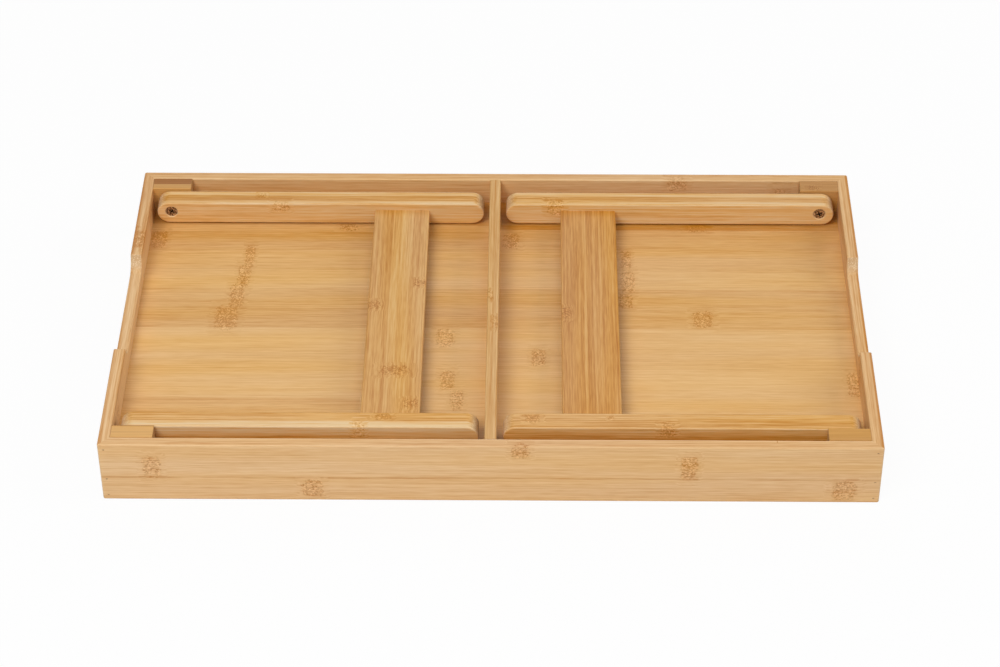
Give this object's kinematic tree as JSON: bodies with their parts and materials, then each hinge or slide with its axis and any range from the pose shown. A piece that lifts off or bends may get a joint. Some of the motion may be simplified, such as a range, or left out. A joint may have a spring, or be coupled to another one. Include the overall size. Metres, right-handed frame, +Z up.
{
  "type": "bed tray table",
  "caption": "Bamboo bed tray table: mitred tray with handle notches and folding leg frames, lying upside down with the legs folded flat.",
  "frame": {"origin": "middle of the tray on the plane that its upper rim rests on; the tray lies upside down, as pictured", "axes": "+X along the tray to the picture's right, +Y across it away from the camera, +Z up out of the underside recess"},
  "size_m": [0.52, 0.3, 0.049],
  "materials": {
    "bamboo_frame": "laminated bamboo, sanded and clear lacquered, satin",
    "bamboo_panel": "laminated bamboo panel, clear lacquered, satin",
    "bamboo_divider": "laminated bamboo, clear lacquered, satin",
    "bamboo_block": "laminated bamboo, clear lacquered, satin",
    "bamboo_leg": "laminated bamboo, rounded and clear lacquered, satin",
    "bamboo_crossbar": "laminated bamboo, clear lacquered, satin",
    "blackened_screw": "black oxide steel",
    "steel_brad": "plain steel, flat section",
    "nylon_washer": "natural nylon"
  },
  "bodies": {
    "tray": {"front_rail": "bamboo_frame", "back_rail": "bamboo_frame", "left_wall": "bamboo_frame", "right_wall": "bamboo_frame", "tray_panel": "bamboo_panel", "centre_divider": "bamboo_divider", "corner_brads": "steel_brad", "front_left_block": "bamboo_block", "front_left_pivot_screw": "blackened_screw", "front_left_washer": "nylon_washer", "front_right_block": "bamboo_block", "front_right_pivot_screw": "blackened_screw", "front_right_washer": "nylon_washer", "back_left_block": "bamboo_block", "back_left_pivot_screw": "blackened_screw", "back_left_washer": "nylon_washer", "back_right_block": "bamboo_block", "back_right_pivot_screw": "blackened_screw", "back_right_washer": "nylon_washer"},
    "left_leg_frame": {"front_left_leg": "bamboo_leg", "back_left_leg": "bamboo_leg", "left_crossbar": "bamboo_crossbar"},
    "right_leg_frame": {"front_right_leg": "bamboo_leg", "back_right_leg": "bamboo_leg", "right_crossbar": "bamboo_crossbar"}
  },
  "joints": [
    {"name": "left_leg_fold", "type": "hinge", "parent": "tray", "child": "left_leg_frame", "pos_m": [-0.2375, 0, 0.0395], "axis": [0, -1, 0], "range_deg": [0, 118]},
    {"name": "right_leg_fold", "type": "hinge", "parent": "tray", "child": "right_leg_frame", "pos_m": [0.2375, 0, 0.0395], "axis": [0, 1, 0], "range_deg": [0, 118]}
  ]
}
